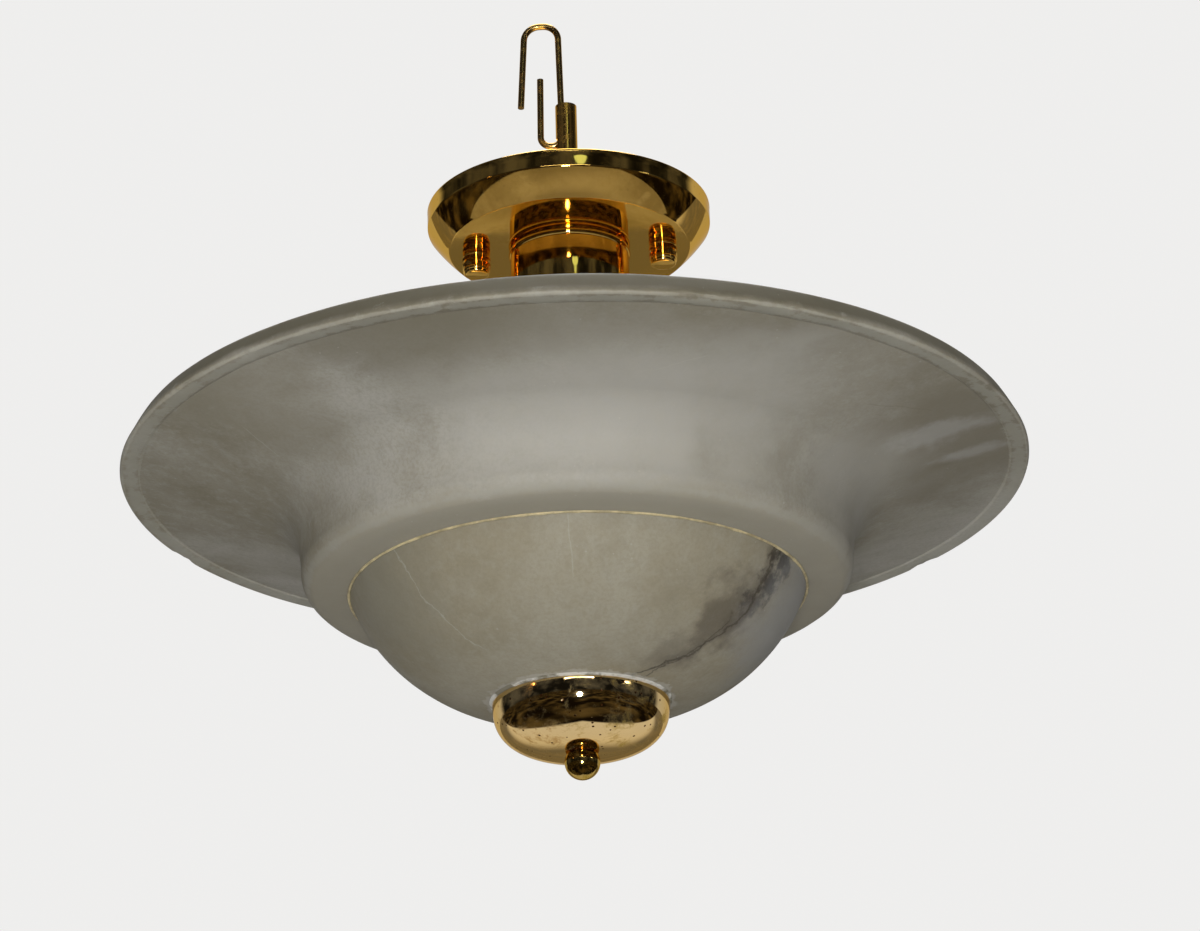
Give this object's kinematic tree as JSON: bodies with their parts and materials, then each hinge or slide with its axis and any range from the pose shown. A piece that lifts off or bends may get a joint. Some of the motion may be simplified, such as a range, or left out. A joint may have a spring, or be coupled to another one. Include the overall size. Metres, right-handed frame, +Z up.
{
  "type": "semi-flush bowl ceiling light",
  "caption": "Ceiling light with a turned alabaster bowl, wide flared brim and domed bottom, hung under a brass canopy and neck, with a brass cap and ball finial below.",
  "frame": {"origin": "on the lamp's axis at the ceiling plane, the centre of the box bar's two slots on its top face", "axes": "+Z up into the ceiling, +X through the right canopy knob as seen in the picture, +Y away from the viewer"},
  "size_m": [0.4064, 0.4064, 0.3728],
  "materials": {
    "alabaster": "honed and waxed, translucent, cloudy with dark veins",
    "aged_brass": "polished and lacquered, tarnished and pitted",
    "contact_brass": "plain pressed brass",
    "zinc_steel": "zinc plated",
    "green_paint": "green earth screw",
    "porcelain": "glazed white porcelain",
    "bulb_base_aluminium": "rolled thread, satin",
    "bulb_glass": "frosted white",
    "seam_adhesive": "cream stone adhesive, chipped",
    "plaster": "white plaster residue",
    "fibre": "red-brown fibre bush"
  },
  "bodies": {
    "fixture": {"box_bar": "zinc_steel", "canopy_bar": "zinc_steel", "ground_screw": "green_paint", "stem_tube": "aged_brass", "hanging_hook": "aged_brass", "canopy": "aged_brass", "canopy_studs": "zinc_steel", "stud_locknuts": "zinc_steel", "canopy_spacer": "zinc_steel", "neck_ring": "aged_brass", "neck_cup": "aged_brass", "neck_collar": "aged_brass", "cluster_plate": "aged_brass", "stem_locknuts": "zinc_steel", "holder_nipples": "zinc_steel", "holder_locknuts": "zinc_steel", "rod_coupling": "zinc_steel", "draw_rod": "zinc_steel", "socket_cup_1": "aged_brass", "lampholder_body_1": "porcelain", "screw_shell_1": "contact_brass", "centre_contact_1": "contact_brass", "socket_cup_2": "aged_brass", "lampholder_body_2": "porcelain", "screw_shell_2": "contact_brass", "centre_contact_2": "contact_brass", "socket_cup_3": "aged_brass", "lampholder_body_3": "porcelain", "screw_shell_3": "contact_brass", "centre_contact_3": "contact_brass"},
    "canopy_knob_left": {"canopy_knob_left": "aged_brass"},
    "canopy_knob_right": {"canopy_knob_right": "aged_brass"},
    "bulb_1": {"bulb_glass_1": "bulb_glass", "bulb_base_1": "bulb_base_aluminium"},
    "bulb_2": {"bulb_glass_2": "bulb_glass", "bulb_base_2": "bulb_base_aluminium"},
    "bulb_3": {"bulb_glass_3": "bulb_glass", "bulb_base_3": "bulb_base_aluminium"},
    "cap": {"bottom_cap": "aged_brass", "cap_washer": "zinc_steel"},
    "bowl": {"alabaster_brim": "alabaster", "alabaster_dome": "alabaster", "seam_adhesive": "seam_adhesive", "cap_plaster": "plaster", "dome_bush": "fibre"},
    "finial": {"finial": "aged_brass"}
  },
  "joints": [
    {"name": "canopy_knob_left_turn", "type": "hinge", "parent": "fixture", "child": "canopy_knob_left", "pos_m": [-0.043, 0, -0.025], "axis": [0, 0, 1], "continuous": true},
    {"name": "canopy_knob_right_turn", "type": "hinge", "parent": "fixture", "child": "canopy_knob_right", "pos_m": [0.043, 0, -0.025], "axis": [0, 0, 1], "continuous": true},
    {"name": "bulb_1_turn", "type": "hinge", "parent": "fixture", "child": "bulb_1", "pos_m": [0, 0.048, -0.11], "axis": [0, 0, 1], "continuous": true},
    {"name": "bulb_2_turn", "type": "hinge", "parent": "fixture", "child": "bulb_2", "pos_m": [-0.04157, -0.024, -0.11], "axis": [0, 0, 1], "continuous": true},
    {"name": "bulb_3_turn", "type": "hinge", "parent": "fixture", "child": "bulb_3", "pos_m": [0.04157, -0.024, -0.11], "axis": [0, 0, 1], "continuous": true},
    {"name": "bowl_drop", "type": "slide", "parent": "fixture", "child": "cap", "axis": [0, 0, -1], "range_m": [0, 0.146]},
    {"name": "bowl_turn", "type": "hinge", "parent": "cap", "child": "bowl", "pos_m": [0, 0, -0.24], "axis": [0, 0, 1], "continuous": true},
    {"name": "finial_turn", "type": "hinge", "parent": "cap", "child": "finial", "pos_m": [0, 0, -0.266], "axis": [0, 0, 1], "continuous": true}
  ]
}
